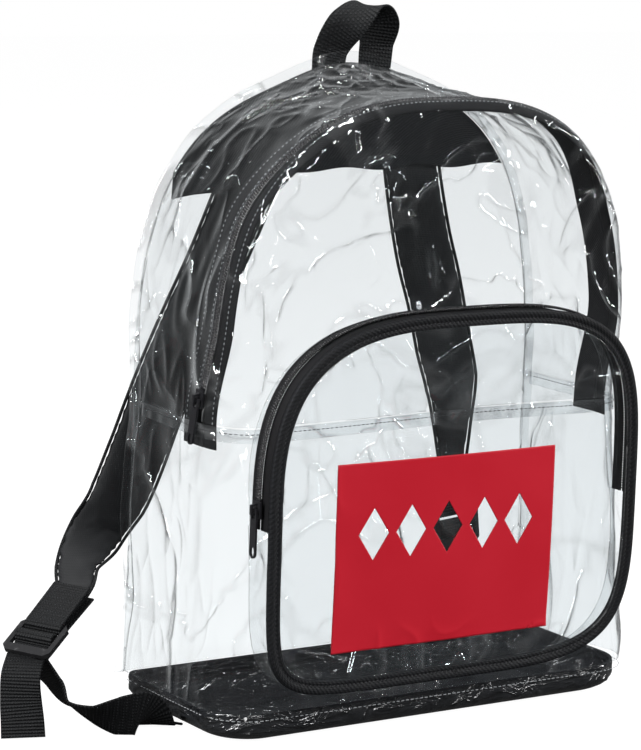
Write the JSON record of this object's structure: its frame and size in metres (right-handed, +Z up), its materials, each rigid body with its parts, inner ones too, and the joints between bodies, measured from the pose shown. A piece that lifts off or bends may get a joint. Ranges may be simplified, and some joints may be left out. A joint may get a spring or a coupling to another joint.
{
  "type": "clear stadium backpack",
  "caption": "Clear film backpack with an arched top opened by a zip, a zipped front pocket, a black base, padded shoulder straps with ladder buckles and a webbing carry loop.",
  "frame": {"origin": "under the middle of the base, on the floor", "axes": "+X to the right of the bag as its front is looked at, +Y to its back, +Z up"},
  "size_m": [0.4491, 0.1799, 0.4475],
  "materials": {
    "clear": "clear soft film, glossy, creased",
    "vinyl": "black coated cloth, glossy",
    "cloth": "black woven polyester",
    "zip": "black woven zip tape and nylon coil",
    "metal": "black enamel",
    "plastic": "black moulded plastic, semi gloss",
    "print": "red ink on film"
  },
  "bodies": {
    "root": {"base_tray": "vinyl", "lower_wrap": "clear", "waist_seam_band": "clear", "front_panel": "clear", "upper_gusset": "clear", "back_panel": "clear", "back_yoke": "cloth", "back_seam_flange": "clear", "main_zip_tape_rear": "zip", "main_zip_tape_front": "zip", "main_zip_coil": "zip", "main_zip_slider": "metal", "pocket_gusset": "clear", "pocket_gusset_lower": "clear", "pocket_zip_tape_rear": "zip", "pocket_zip_tape_front": "zip", "pocket_zip_coil": "zip", "pocket_zip_slider": "metal", "pocket_binding": "cloth", "pocket_front": "clear", "print_patch": "print", "grab_handle": "cloth", "strap_pad_left": "cloth", "strap_loop_left": "cloth", "buckle_left": "plastic", "strap_webbing_left": "cloth", "strap_pad_right": "cloth", "strap_loop_right": "cloth", "buckle_right": "plastic", "strap_webbing_right": "cloth"},
    "main_pull": {"main_zip_pull": "metal"},
    "pocket_pull": {"pocket_zip_pull": "metal"}
  },
  "joints": [
    {"name": "main_pull_swing", "type": "hinge", "parent": "root", "child": "main_pull", "pos_m": [-0.15696, -0.02177, 0.21109], "axis": [0.0213, 0.9759, 0.2174], "range_deg": [0, 170]},
    {"name": "pocket_pull_swing", "type": "hinge", "parent": "root", "child": "pocket_pull", "pos_m": [-0.14488, -0.07225, 0.15098], "axis": [0, 1, 0], "range_deg": [0, 170]}
  ]
}
